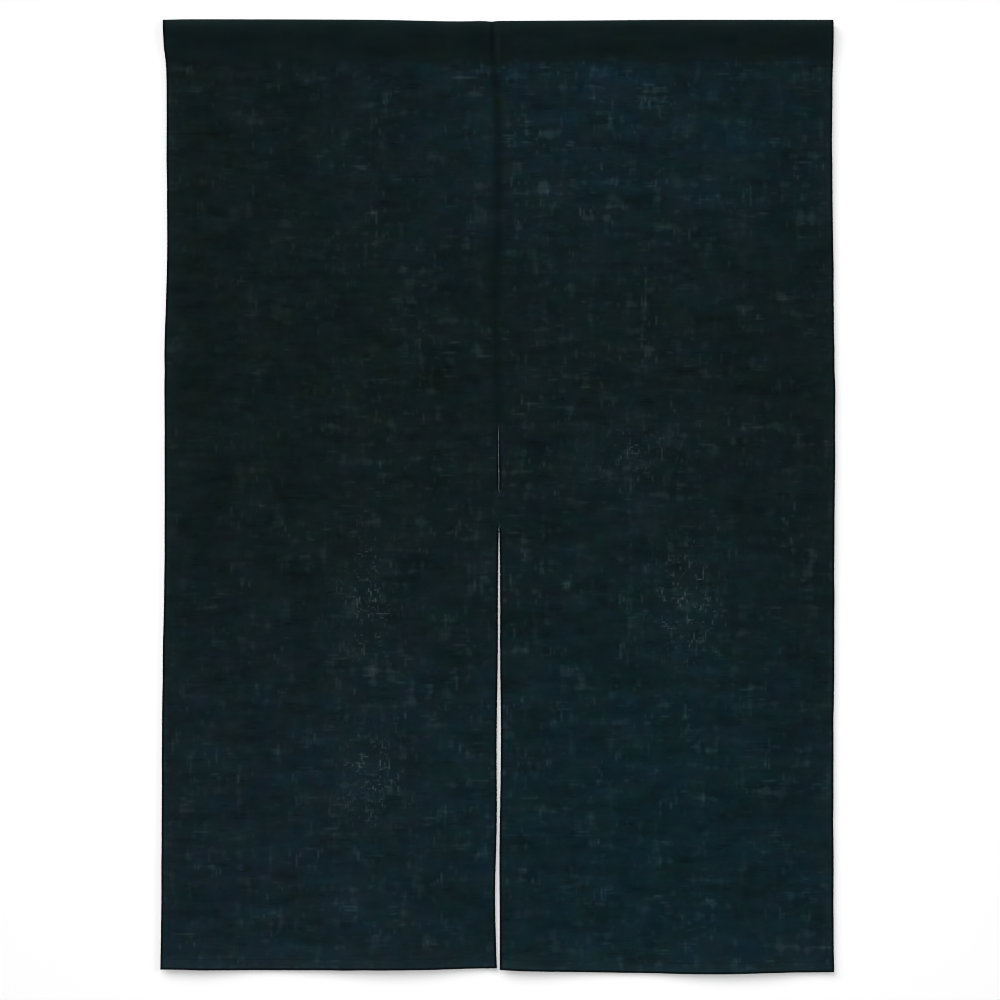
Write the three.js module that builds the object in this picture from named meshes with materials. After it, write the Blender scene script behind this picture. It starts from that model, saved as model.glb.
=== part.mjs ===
// A noren: a split doorway curtain of dark, slubby linen that hangs on a rod in its top pocket.
// Two hemmed panels are seamed together above a slit, under one folded pocket across the full width.
// Millimetres, +Z up, front towards -Y. The origin is the top fold at the centre seam,
// and `down` is measured from there.

import * as THREE from 'three';

const { clamp, lerp, smoothstep } = THREE.MathUtils;

// Driving dimensions
const WIDTH = 848; // across the rod pocket
const DROP = 1200; // top fold to bottom hem
const CLOTH = 1.2; // one layer
const GAP = 0.3; // between pieces that are sewn together or touch

// Rod pocket
const POCKET_DROP = 51; // top fold to the stitched lower edge
const POCKET_LIP = 4; // the two layers sewn flat under the hollow
const ROD_ROOM = 16; // the empty pocket, front to back
const POCKET_PITCH = 28; // spacing of its sections
const ARC_STEPS = 6; // half the facets over the top fold

// Hems, turned to the back, and the centre seam
const SIDE_HEM = 11;
const SLIT_HEM = 11; // also the seam's turnings above the slit, pressed to the right
const BOTTOM_HEM = 15;
const HEM_STEP = 1.5; // width of the step from a hem down to the single layer
const HEM_FRONT = 0.2; // how far a hem stands proud in front
const HEM_BACK = 0.8; // and behind
const SEAM_ROUND = 3; // over which the seam's ridge rises and falls
const SEAM_GROOVE = 0.7; // depth of the seam's line in the pocket
const SEAM_RIDGE = 0.5; // height of the turnings beside it
const SEAM_NOTCH = { depth: 0.9, width: 6 }; // dip of the top fold at the seam
const VALLEY = { depth: 1.6, width: 7, fade: 0.05 }; // dip of the panels at the seam, gone at the slit

// Spacing of the points on a panel
const COLUMN_PITCH = 27;
const ROW_PITCH = 44;

// Outer edges: `down` as a share of DROP, and how far out each edge stands past half the width.
const SIDE_EDGES = [
  { down: 0, left: 0, right: 0 },
  { down: 0.025, left: -0.7, right: 0.2 },
  { down: 0.042, left: -3.0, right: 0 },
  { down: 0.062, left: -4.2, right: -0.8 },
  { down: 0.138, left: -4.2, right: -1.3 },
  { down: 0.242, left: -5.0, right: 0.2 },
  { down: 0.346, left: -1.8, right: 1.5 },
  { down: 0.4, left: -1.7, right: 2.7 },
  { down: 0.558, left: -1.7, right: 1.6 },
  { down: 0.662, left: 0.2, right: 1.6 },
  { down: 0.767, left: 1.6, right: 0.4 },
  { down: 0.927, left: 2.3, right: 0.6 },
  { down: 1, left: 3.6, right: 1.2 },
];

// Centre seam and slit: `down` as a share of DROP, and how far right of the middle they run.
const SEAM_LINE = [
  { down: 0, across: -8.5 },
  { down: 0.041, across: -6 },
  { down: 0.083, across: -1.5 },
  { down: 0.178, across: 0.4 },
  { down: 0.293, across: -2.2 },
  { down: 0.425, across: 0.1 },
  { down: 0.494, across: 1.1 },
  { down: 0.82, across: 0.4 },
  { down: 0.917, across: -1.1 },
  { down: 1, across: 0.1 },
];

// Opening of the slit, from its start, through the stretch where the edges touch, to the hem.
const SLIT_START = 0.427;
const SLIT_GAPS = [
  { down: SLIT_START, gap: 0.3 },
  { down: 0.483, gap: 0.65 },
  { down: 0.5, gap: 0.3 },
  { down: 0.54, gap: 0.3 },
  { down: 0.568, gap: 2.0 },
  { down: 0.616, gap: 2.9 },
  { down: 0.662, gap: 2.8 },
  { down: 0.757, gap: 5.4 },
  { down: 0.852, gap: 3.9 },
  { down: 0.93, gap: 5.7 },
  { down: 1, gap: 3.9 },
];

// Top fold: `across` as a share of half the width, its rise, and how full the pocket hangs there.
const TOP_FOLD = [
  { across: -1, rise: 2.4, full: 0.94 },
  { across: -0.92, rise: 3.0, full: 1.0 },
  { across: -0.37, rise: 2.3, full: 0.95 },
  { across: -0.14, rise: 0.4, full: 1.02 },
  { across: -0.04, rise: 0.8, full: 1.0 },
  { across: 0.066, rise: 1.0, full: 0.98 },
  { across: 0.3, rise: 1.6, full: 1.03 },
  { across: 0.53, rise: 2.3, full: 0.96 },
  { across: 1, rise: 2.3, full: 0.95 },
];

// Each panel: `turnings` is 1 where the seam's turnings lie on it.
// Its hem line: `share` runs from the outer edge to the slit, and `longer` is the length past DROP.
// Its folds: where one lies on `share`, its half width, its rise to the front at the hem,
// how far it drifts towards the slit on its way down, and the share of DROP where it starts.
const PANELS = [
  {
    name: 'panel_left',
    side: -1,
    turnings: 0,
    hemLine: [
      { share: 0, longer: -0.3 },
      { share: 0.18, longer: 1.0 },
      { share: 0.63, longer: 0.8 },
      { share: 1, longer: -1.3 },
    ],
    folds: [
      { share: 0.08, width: 48, rise: 3.6, drift: 10, from: 0.3 },
      { share: 0.36, width: 76, rise: -4.2, drift: -18, from: 0.08 },
      { share: 0.64, width: 66, rise: 4.6, drift: 22, from: 0.16 },
      { share: 0.96, width: 42, rise: -3.4, drift: 0, from: 0.44 },
    ],
  },
  {
    name: 'panel_right',
    side: 1,
    turnings: 1,
    hemLine: [
      { share: 0, longer: 3.4 },
      { share: 0.25, longer: 4.8 },
      { share: 0.36, longer: 5.8 },
      { share: 0.55, longer: 4.8 },
      { share: 0.93, longer: 1.7 },
      { share: 1, longer: 0.3 },
    ],
    folds: [
      { share: 0.04, width: 40, rise: -3.2, drift: 8, from: 0.34 },
      { share: 0.3, width: 70, rise: 4.6, drift: 16, from: 0.14 },
      { share: 0.62, width: 82, rise: -4.4, drift: -24, from: 0.06 },
      { share: 0.93, width: 46, rise: 3.8, drift: 0, from: 0.46 },
    ],
  },
];

const LINEN = { roughness: 0.95, metalness: 0 };
const SINGLE_LAYER = new THREE.MeshStandardMaterial({ color: 0x121f22, ...LINEN });
const DOUBLE_LAYER = new THREE.MeshStandardMaterial({ color: 0x101b1c, ...LINEN });

// A smooth curve through the rows of a table, from one of its columns to another.
function curveThrough(rows, from, to) {
  const slopeAt = (i) => {
    const before = rows[Math.max(i - 1, 0)];
    const after = rows[Math.min(i + 1, rows.length - 1)];
    return (after[to] - before[to]) / (after[from] - before[from]);
  };
  return (x) => {
    const beyond = rows.findIndex((row) => row[from] > x);
    const i = beyond < 0 ? rows.length - 2 : Math.max(beyond - 1, 0);
    const span = rows[i + 1][from] - rows[i][from];
    const t = clamp((x - rows[i][from]) / span, 0, 1);
    const bulge = span * t * (1 - t) * (slopeAt(i) * (1 - t) - slopeAt(i + 1) * t);
    return lerp(rows[i][to], rows[i + 1][to], smoothstep(t, 0, 1)) + bulge;
  };
}

const bell = (distance, width) => Math.exp(-((distance / width) ** 2));

const leftOut = curveThrough(SIDE_EDGES, 'down', 'left');
const rightOut = curveThrough(SIDE_EDGES, 'down', 'right');
const seamAcross = curveThrough(SEAM_LINE, 'down', 'across');
const slitGap = curveThrough(SLIT_GAPS, 'down', 'gap');
const topRise = curveThrough(TOP_FOLD, 'across', 'rise');
const pocketFull = curveThrough(TOP_FOLD, 'across', 'full');

function outerEdge(side, down) {
  const out = side < 0 ? leftOut(down / DROP) : rightOut(down / DROP);
  return side * (WIDTH / 2 + out);
}

function slitEdge(side, down) {
  const opening = Math.max(GAP, slitGap(down / DROP));
  return seamAcross(down / DROP) + (side * opening) / 2;
}

// Evenly spaced places from start to end, about a pitch apart.
function evenPlaces(start, end, pitch) {
  const count = Math.max(1, Math.round((end - start) / pitch));
  return Array.from({ length: count + 1 }, (_, i) => lerp(start, end, i / count));
}

// Places across a strip with a hem on each side: each edge, each hem's step, and even ones between.
function hemmedPlaces(length, firstHem, lastHem, pitch) {
  const first = firstHem > 0 ? [0, firstHem] : [];
  const last = [length - lastHem, length];
  const start = firstHem > 0 ? firstHem + HEM_STEP : 0;
  return [...first, ...evenPlaces(start, length - lastHem - HEM_STEP, pitch), ...last];
}

// Moves every corner of a geometry to the point that `place` gives for it.
function warp(geometry, place) {
  const corners = geometry.getAttribute('position');
  const corner = new THREE.Vector3();
  for (let i = 0; i < corners.count; i += 1) {
    const { x, y, z } = place(corner.fromBufferAttribute(corners, i));
    corners.setXYZ(i, x, y, z);
  }
  geometry.computeVertexNormals();
  return geometry;
}

// How far a hem of this width covers a point at this distance from its edge, 0 to 1.
const hemCover = (width, distance) => clamp((width + HEM_STEP - distance) / HEM_STEP, 0, 1);

// Depth of a panel's middle surface: its folds, and the dip towards the centre seam.
function drapeDepth(panel, fromOuter, fromSlit, down) {
  const panelWidth = fromOuter + fromSlit;
  let depth = -CLOTH / 2;
  for (const fold of panel.folds) {
    const crest = fold.share * panelWidth + (fold.drift * down) / DROP;
    depth -= fold.rise * bell(fromOuter - crest, fold.width) * smoothstep(down / DROP, fold.from, 1);
  }
  const sewn = 1 - smoothstep(down / DROP, SLIT_START - VALLEY.fade, SLIT_START + VALLEY.fade);
  return depth + VALLEY.depth * bell(fromSlit, VALLEY.width) * sewn;
}

// One panel: a thin box whose corners are laid out to the cloth's outline, hems and folds.
function panelMesh(panel) {
  const hemLonger = curveThrough(panel.hemLine, 'share', 'longer');
  const top = POCKET_DROP + GAP;
  const columns = hemmedPlaces(WIDTH / 2, SIDE_HEM, SLIT_HEM, COLUMN_PITCH);
  const rows = hemmedPlaces(DROP - top, 0, BOTTOM_HEM, ROW_PITCH);
  const lastColumn = columns.length - 1;
  const lastRow = rows.length - 1;
  const sheet = new THREE.BoxGeometry(1, 1, 1, lastColumn, 1, lastRow);
  warp(sheet, (corner) => {
    const column = Math.round((0.5 - panel.side * corner.x) * lastColumn);
    const row = Math.round((0.5 - corner.z) * lastRow);
    const share = columns[column] / columns[lastColumn];
    const bottom = DROP + hemLonger(share);
    const down = lerp(top, bottom, rows[row] / rows[lastRow]);
    const outer = outerEdge(panel.side, down);
    const slit = slitEdge(panel.side, down);
    const across = lerp(outer, slit, share);
    const fromOuter = Math.abs(across - outer);
    const fromSlit = Math.abs(across - slit);
    const slitCover = down / DROP < SLIT_START ? panel.turnings : 1;
    const cover = Math.max(
      hemCover(SIDE_HEM, fromOuter),
      hemCover(SLIT_HEM, fromSlit) * slitCover,
      hemCover(BOTTOM_HEM, bottom - down),
    );
    const middle = drapeDepth(panel, fromOuter, fromSlit, down);
    const front = middle - CLOTH / 2 - HEM_FRONT * cover;
    const back = middle + CLOTH / 2 + HEM_BACK * cover;
    return new THREE.Vector3(across, corner.y < 0 ? front : back, -down);
  });
  const mesh = new THREE.Mesh(sheet, SINGLE_LAYER);
  mesh.name = panel.name;
  return mesh;
}

// The pocket's section: a layer that runs up the front, round the rod's room and down the back.
function pocketSection() {
  const radius = ROD_ROOM / 2;
  const centre = -(CLOTH + radius);
  const tip = -(POCKET_DROP - POCKET_LIP);
  const lean = Math.asin(radius / (centre - tip)); // of the layers between the rod's room and the lip
  const lipTop = { x: CLOTH * Math.cos(lean), y: tip - CLOTH * Math.sin(lean) };
  const section = new THREE.Shape();
  section.moveTo(-CLOTH, -POCKET_DROP);
  section.lineTo(-lipTop.x, lipTop.y);
  section.absarc(0, centre, radius + CLOTH, Math.PI + lean, -lean, true);
  section.lineTo(lipTop.x, lipTop.y);
  section.lineTo(CLOTH, -POCKET_DROP);
  const hollow = new THREE.Path();
  hollow.moveTo(0, tip);
  hollow.lineTo(radius * Math.cos(lean), centre - radius * Math.sin(lean));
  hollow.absarc(0, centre, radius, -lean, Math.PI + lean, false);
  section.holes.push(hollow);
  return section;
}

// Places across the pocket: even ones, and closer ones over the centre seam and its turnings.
function pocketPlaces() {
  const seam = seamAcross(0);
  const first = seam - SLIT_HEM;
  const last = seam + 2 * SLIT_HEM;
  return [
    ...evenPlaces(-WIDTH / 2, first, POCKET_PITCH).slice(0, -1),
    ...evenPlaces(first, last, SEAM_ROUND),
    ...evenPlaces(last, WIDTH / 2, POCKET_PITCH).slice(1),
  ];
}

function pocketMesh() {
  const places = pocketPlaces();
  const steps = places.length - 1;
  const deepest = CLOTH + ROD_ROOM / 2;
  const options = { depth: 1, steps, bevelEnabled: false, curveSegments: ARC_STEPS };
  const sleeve = new THREE.ExtrudeGeometry(pocketSection(), options);
  warp(sleeve, (corner) => {
    const place = places[Math.round(corner.z * steps)];
    const down = -corner.y;
    const across = (place * Math.abs(outerEdge(Math.sign(place), down))) / (WIDTH / 2);
    const fromSeam = across - seamAcross(down / DROP);
    const turnings =
      smoothstep(fromSeam, 0, SEAM_ROUND) *
      (1 - smoothstep(fromSeam, SLIT_HEM, SLIT_HEM + SEAM_ROUND));
    const relief = SEAM_RIDGE * turnings - SEAM_GROOVE * bell(fromSeam, SEAM_ROUND);
    const fullness = pocketFull(place / (WIDTH / 2)) + relief / deepest;
    const notch = SEAM_NOTCH.depth * bell(fromSeam, SEAM_NOTCH.width);
    const rise = topRise(place / (WIDTH / 2)) - notch;
    return new THREE.Vector3(across, corner.x * fullness, rise * (1 - down / POCKET_DROP) - down);
  });
  const mesh = new THREE.Mesh(sleeve, DOUBLE_LAYER);
  mesh.name = 'rod_pocket';
  return mesh;
}

const noren = new THREE.Group();
noren.name = 'noren_curtain';
noren.add(pocketMesh(), ...PANELS.map(panelMesh));

export default noren;
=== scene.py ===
"""A noren: a split doorway curtain of slubby blue-black linen, hung face on before a white wall.

Metres, +Z up, front towards -Y. The origin is the top fold at the centre seam, and `down` is
measured from there. The cloth lies on the folds of the solids that it stands for.
"""
import math
from types import SimpleNamespace

import bpy
import numpy as np
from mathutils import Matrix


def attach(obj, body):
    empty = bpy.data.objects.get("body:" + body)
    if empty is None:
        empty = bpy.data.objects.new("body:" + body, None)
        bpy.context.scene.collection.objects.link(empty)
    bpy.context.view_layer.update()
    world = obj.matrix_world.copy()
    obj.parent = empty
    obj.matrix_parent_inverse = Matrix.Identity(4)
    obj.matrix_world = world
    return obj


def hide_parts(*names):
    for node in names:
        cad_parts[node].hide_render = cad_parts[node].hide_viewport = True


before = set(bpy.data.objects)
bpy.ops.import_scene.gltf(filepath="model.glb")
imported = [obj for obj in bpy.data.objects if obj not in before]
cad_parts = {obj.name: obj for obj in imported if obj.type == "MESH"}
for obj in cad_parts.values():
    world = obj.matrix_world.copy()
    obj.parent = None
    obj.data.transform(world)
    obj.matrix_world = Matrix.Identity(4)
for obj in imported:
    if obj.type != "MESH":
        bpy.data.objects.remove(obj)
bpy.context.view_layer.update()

MM = 0.001

# The curtain's driving sizes
WIDTH = 848 * MM
DROP = 1200 * MM
LAYER = 0.7 * MM  # one layer of linen
TOUCH = 0.005 * MM  # between edges that touch
POCKET_DROP = 51 * MM
POCKET_LIP = 4 * MM
POCKET_TAIL = 2.5 * MM  # how far the back layer laps below the front one
ROD_ROOM = 16 * MM

# Hems, turned to the back
SIDE_HEM = 11 * MM
SLIT_HEM = 11 * MM
BOTTOM_HEM = 15 * MM
HEM_STEP = 0.7 * MM
HEM_FRONT = 0.15 * MM
HEM_BACK = 1.1 * MM
EDGE_ROUND = 0.45 * MM
ROUND_GAPS = (0.0, 0.8)  # millimetres of the slit's gap, over which its edges round off

# Centre seam
SEAM_ROUND = 3 * MM
SEAM_GROOVE = 0.7 * MM
SEAM_RIDGE = 0.5 * MM
NOTCH_DEPTH = 0.9 * MM
NOTCH_WIDTH = 6 * MM
VALLEY_DEPTH = 1.6 * MM
VALLEY_WIDTH = 7 * MM
CREASE_DEPTH = 0.2 * MM  # where the cloth turns into the seam
CREASE_WIDTH = 1.4 * MM
SLIT_START = 0.4235  # share of DROP
SLIT_FADE = 0.05

# Stitching
STITCH = 2.6 * MM
STITCH_PITCH = 3.1 * MM
THREAD = 0.19 * MM  # radius
THREAD_SIDES = 6
THREAD_RINGS = 5
ARCH_RISE = 0.75  # of a stitch's middle over the cloth, in thread radii
ARCH_SINK = 1.5  # of its ends below its middle, in thread radii
TAPER_FROM = 1.06  # of the thread's section, over 1 so that only a stitch's ends narrow
TAPER_END = 0.1  # of the thread's section, at a stitch's ends
SIDE_STITCHES_START = 2 * MM  # under the pocket
POCKET_STITCHES_START = 3 * MM  # from the pocket's ends
STITCH_INSET = 1.6 * MM  # from a hem's inner edge to its stitches
STITCH_DENT = 0.16 * MM
STITCH_DENT_WIDTH = 0.9 * MM

# Unevenness of the hung cloth: size of its features, and how far they stand out
DIMPLES = (  # millimetres
    dict(size=95, height=0.55, seed=11),
    dict(size=38, height=0.22, seed=12),
)
HANG_FADE = 60 * MM  # under the pocket, over which the cloth comes to hang freely
VALLEY_FADE = 12 * MM  # under the pocket, over which the seam's valley deepens
PUCKER_SIZE = 9 * MM
PUCKER = 0.16 * MM
PUCKER_SHIFT = 0.7  # sets the puckers apart from other noise
EDGE_WAVE_SIZE = 26 * MM
EDGE_WAVE = 0.25 * MM
EDGE_SEED = 5
POCKET_UNEVEN_SIZE = 60 * MM
POCKET_UNEVEN = 0.025  # share of the pocket's depth
POCKET_SEED = 31

# Grids of the meshes
GRID = 4 * MM
HEM_GRID = 2 * MM
HEM_MIDDLE = (0.4, 0.65)  # shares of a hem's width, between its edge and its stitches
EDGE_PLACES = np.array((EDGE_ROUND, 1.5 * MM, 2.5 * MM, 3.5 * MM))  # beside a folded edge
DENT_PLACES = STITCH_DENT_WIDTH * np.array((-1, -0.4, 0, 0.4, 1))  # beside a line of stitches
HEM_PAST = 1.5 * MM  # past the step of a hem
POCKET_END = 5 * MM  # from the pocket's ends to its even grid
ARC_POINTS = 27
SLOPE_STEPS = 12
LIP_POINTS = 6
LIP_SMOOTHINGS = 3

# Outer edges: down as a share of DROP, and millimetres out past half the width.
SIDE_EDGES = (
    dict(down=0.0, left=0.0, right=0.0),
    dict(down=0.025, left=-0.7, right=0.2),
    dict(down=0.042, left=-3.0, right=0.0),
    dict(down=0.062, left=-4.2, right=-0.8),
    dict(down=0.138, left=-4.2, right=-1.3),
    dict(down=0.242, left=-5.0, right=0.2),
    dict(down=0.346, left=-1.8, right=1.5),
    dict(down=0.4, left=-1.7, right=2.7),
    dict(down=0.558, left=-1.7, right=1.6),
    dict(down=0.662, left=0.2, right=1.6),
    dict(down=0.767, left=1.6, right=0.4),
    dict(down=0.927, left=2.3, right=0.6),
    dict(down=1.0, left=3.6, right=1.2),
)

# Centre seam and slit: down as a share of DROP, and millimetres right of the middle.
SEAM_LINE = (
    dict(down=0.0, across=-8.5),
    dict(down=0.041, across=-6.0),
    dict(down=0.083, across=-1.5),
    dict(down=0.178, across=0.4),
    dict(down=0.293, across=-2.2),
    dict(down=0.425, across=0.1),
    dict(down=0.494, across=1.1),
    dict(down=0.82, across=0.4),
    dict(down=0.917, across=-1.1),
    dict(down=1.0, across=0.1),
)

# Opening of the slit in millimetres, through the stretch where its edges touch.
SLIT_GAPS = (
    dict(down=SLIT_START, gap=0.0),
    dict(down=0.428, gap=0.35),
    dict(down=0.46, gap=0.55),
    dict(down=0.488, gap=0.7),
    dict(down=0.503, gap=0.0),
    dict(down=0.531, gap=0.0),
    dict(down=0.536, gap=0.7),
    dict(down=0.548, gap=1.4),
    dict(down=0.568, gap=2.2),
    dict(down=0.616, gap=2.9),
    dict(down=0.662, gap=2.8),
    dict(down=0.757, gap=5.4),
    dict(down=0.852, gap=3.9),
    dict(down=0.93, gap=5.7),
    dict(down=1.0, gap=3.9),
)

# Top fold: across as a share of half the width, its rise in millimetres, and how full the pocket hangs.
TOP_FOLD = (
    dict(across=-1.0, rise=2.4, full=0.94),
    dict(across=-0.92, rise=3.0, full=1.0),
    dict(across=-0.37, rise=2.3, full=0.95),
    dict(across=-0.14, rise=0.4, full=1.02),
    dict(across=-0.04, rise=0.8, full=1.0),
    dict(across=0.066, rise=1.0, full=0.98),
    dict(across=0.3, rise=1.6, full=1.03),
    dict(across=0.53, rise=2.3, full=0.96),
    dict(across=1.0, rise=2.3, full=0.95),
)

# Each panel: its side, whether the seam's turnings lie on it, its hem line and its folds.
# Shares run from the outer edge to the slit. Lengths in the tables are millimetres.
PANELS = (
    dict(
        name="panel_left",
        side=-1,
        turnings=0,
        seed=21,
        hem_line=(
            dict(share=0.0, longer=-0.3),
            dict(share=0.18, longer=1.0),
            dict(share=0.63, longer=0.8),
            dict(share=1.0, longer=-1.3),
        ),
        folds=(
            dict(share=0.08, width=48, rise=3.6, drift=10, start=0.3),
            dict(share=0.36, width=76, rise=-4.2, drift=-18, start=0.08),
            dict(share=0.64, width=66, rise=4.6, drift=22, start=0.16),
            dict(share=0.96, width=42, rise=-3.4, drift=0, start=0.44),
        ),
    ),
    dict(
        name="panel_right",
        side=1,
        turnings=1,
        seed=22,
        hem_line=(
            dict(share=0.0, longer=3.4),
            dict(share=0.25, longer=4.8),
            dict(share=0.36, longer=5.8),
            dict(share=0.55, longer=4.8),
            dict(share=0.93, longer=1.7),
            dict(share=1.0, longer=0.3),
        ),
        folds=(
            dict(share=0.04, width=40, rise=-3.2, drift=8, start=0.34),
            dict(share=0.3, width=70, rise=4.6, drift=16, start=0.14),
            dict(share=0.62, width=82, rise=-4.4, drift=-24, start=0.06),
            dict(share=0.93, width=46, rise=3.8, drift=0, start=0.46),
        ),
    ),
)

# Slow drift of the colour, as soft spots, partly the dye's own and partly painted light, lighter near the
# top and across the bottom: millimetres right of the middle and down, and their sizes.
DYE_AND_LIGHT_SPOTS = (
    dict(across=130, down=75, wide=290, tall=215, blue=0.94, teal=0.28),
    dict(across=330, down=150, wide=130, tall=130, blue=0.1, teal=0.15),
    dict(across=0, down=1290, wide=1200, tall=410, blue=1.2, teal=0.0),
    dict(across=-230, down=890, wide=230, tall=140, blue=0.3, teal=0.0),
    dict(across=200, down=1030, wide=240, tall=320, blue=0.0, teal=0.9),
    dict(across=130, down=560, wide=160, tall=130, blue=0.22, teal=0.0),
)

# Spots where the weave is open and pale specks of painted light from the wall behind show, in the same way.
OPEN_SPOTS = (
    dict(across=-165, down=730, wide=32, tall=75, open=1.0),
    dict(across=-158, down=962, wide=42, tall=54, open=1.05),
    dict(across=238, down=735, wide=38, tall=66, open=1.15),
    dict(across=170, down=545, wide=65, tall=36, open=0.55),
)

# Spots where slubs are more, or fewer (below 0), than elsewhere, in the same way.
SLUB_SPOTS = (
    dict(across=-370, down=420, wide=170, tall=420, slub=-0.55),
    dict(across=330, down=340, wide=110, tall=120, slub=-0.3),
    dict(across=110, down=150, wide=150, tall=120, slub=0.35),
    dict(across=-90, down=800, wide=150, tall=120, slub=0.15),
)

# Painted shade and painted light along edges, seam and pocket: strengths, and the lengths over which they
# fade
# Painted shade over the doubled cloth, which lets less light through from behind
BAND_FADE = (43 * MM, 57 * MM)  # from the doubled cloth of the pocket to the single cloth
BAND_UNEVEN = 7 * MM
BAND_UNEVEN_SIZE = 24 * MM
BAND_SEED = 41
# Painted shade along folded edges, where the cloth turns away
RIM_FADE = (1.8 * MM, 3.5 * MM)
RIM_GAPS = (0.1, 0.8)  # millimetres of the slit's gap, over which its edges darken
# Painted shade in the seam's valley and over its turnings, on both sides of the seam
SEAM_SHADE = 0.12
SEAM_SHADE_WIDTH = 4.5 * MM
SEAM_DOUBLED_SHADE_WIDTH = 7 * MM
# Painted light: the cloth lighter along its outer edges and its bottom
SIDE_GLOW_REACH = 9 * MM
BOTTOM_GLOW = 2.0
BOTTOM_GLOW_REACH = 13 * MM
# Painted shade over the pocket's doubled cloth, at least this much
POCKET_DOUBLED_SHADE = 0.45
# Painted light along the pocket's ends, its top fold, the seam's ridge and above its lip
POCKET_SIDE_GLOW = 0.8
TOP_GLOW = 1.15
TOP_GLOW_REACH = 10 * MM
RIDGE_GLOW = 0.8
RIDGE_PLACE = 7 * MM  # right of the seam
RIDGE_WIDTH = 3 * MM
LIP_GLOW = 0.3
LIP_RISE = (26 * MM, 48 * MM)
LIP_FALL = (46 * MM, 51 * MM)
LIP_UNEVEN = 6 * MM
LIP_UNEVEN_SIZE = 30 * MM
LIP_SEED = 42
# Painted shade in the pocket's groove at the seam
GROOVE_SHADE = 0.6
GROOVE_SHADE_WIDTH = 1.8 * MM

# Linen
YARN = 0.8 * MM
YARN_JUMP = 3.73  # sets the bars of neighbouring yarns apart in the noise
SWAY = 2.5 * MM  # how far the yarns stray from a straight line
SWAY_SIZE = 120 * MM
WEAVE_BUMP = dict(strength=0.35, height=0.12 * MM, thick=0.8)

# Bars on single yarns, in millimetres: the pitch of the yarns and the length of the bars
BARS = dict(
    warp=dict(pitch=4.6, length=19, shift=0.3, sparse=0.53),
    weft=dict(pitch=4.3, length=25, shift=0.8, sparse=0.53),
    dark=dict(pitch=3.9, length=25, shift=0.1, sparse=0.5),
    upright_speck=dict(pitch=2.9, length=11, shift=0.6, sparse=0.535),
    level_speck=dict(pitch=2.7, length=9, shift=0.2, sparse=0.57),
)
BAR_FADE = 0.22

# Noise in the cloth: the size of its features along the weft and the warp, in millimetres
SHIFT_WARP = 0.37  # share of a row's shift that also runs along the warp
NOISE = dict(
    lines=dict(weft=30, warp=2.6, detail=1.0, shift=0.0),
    mottle=dict(weft=17, warp=15, detail=2.0, shift=5.8),
    cloud=dict(weft=60, warp=60, detail=3.0, shift=2.6),
    streak=dict(weft=65, warp=17, detail=1.0, shift=0.7),
    thick_warp=dict(weft=12, warp=38, detail=1.0, shift=7.7),
    thick_weft=dict(weft=42, warp=11, detail=1.0, shift=5.1),
)
THICK_FADE = (0.04, 0.52)

# Zones of the cloth, from 0 where such noise is low to 1 where it is high
ZONES = dict(
    slubby=dict(weft=70, warp=60, detail=2.0, shift=1.9, low=-0.3, high=0.2),
    warp_bars=dict(weft=26, warp=22, detail=1.0, shift=3.3, low=0.0, high=0.2),
    weft_bars=dict(weft=30, warp=20, detail=1.0, shift=8.6, low=0.0, high=0.2),
    dark_bars=dict(weft=30, warp=20, detail=1.0, shift=4.2, low=-0.02, high=0.2),
    specks=dict(weft=15, warp=20, detail=1.0, shift=6.1, low=-0.11, high=0.15),
    warm=dict(weft=38, warp=30, detail=2.0, shift=9.4, low=-0.3, high=0.3),
    cool=dict(weft=46, warp=38, detail=2.0, shift=6.8, low=-0.3, high=0.3),
)

# How much each feature adds to the slubs, and to the lightness of the dye
SLUB_PARTS = dict(thick=1.05, warp_bars=1.25, weft_bars=1.1, open=0.12)
LIGHTNESS = dict(base=0.76, lines=0.15, mottle=0.4, cloud=0.5, streak=0.4, dark_bars=-0.22, slubs=0.4)
# Painted shade: doubled cloth lets less light through from behind, and loses much of its pale slubs,
# mottling and specks
DOUBLED_PLAIN = 0.85  # how much of its slubs and mottling doubled cloth loses
# How much the painted shade along folded edges, the seam and the pocket's groove darkens the cloth
RIM_PAINTED_SHADE = 0.85

# Colours, in linear light: the dye where it is darkest; where it turns lighter and bluer or greener, partly
# the dye and partly painted light; and the painted shade of doubled cloth
DYE_DARK = (0.0044, 0.0098, 0.0101, 1)
BLUE_DYE_AND_LIGHT = (0.0058, 0.0148, 0.0202, 1)
TEAL_DYE_AND_LIGHT = (0.0036, 0.0152, 0.0203, 1)
# Painted shade of doubled cloth
DOUBLED_SHADE_TONE = (0.0038, 0.0094, 0.0099, 1)
GREEN_TINT = (0.79, 1.01, 1.0, 1)
RED_TINT = (1.23, 0.99, 1.0, 1)
OLIVE_TINT = (1.0, 1.02, 0.88, 1)
VIOLET_TINT = (1.0, 0.98, 1.12, 1)
SLUB_PALE = (0.0040, 0.0053, 0.0050)
# Painted light: pale specks where the wall behind shows through the open weave
SPECK_PAINTED_LIGHT = (0.026, 0.036, 0.040)
# Painted light along edges, the top fold, the seam's ridge and the pocket's lip
PAINTED_GLOW = (0.0022, 0.0036, 0.0036)
SHEEN_TINT = (0.35, 0.6, 0.7, 1)

# Sewing thread
THREAD_DARK = (0.0032, 0.0072, 0.0078, 1)
THREAD_PALE = (0.0062, 0.0128, 0.014, 1)
PLY = 900.0  # features of the ply in a metre
PLY_BUMP = dict(strength=0.4, height=0.05 * MM)

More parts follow.
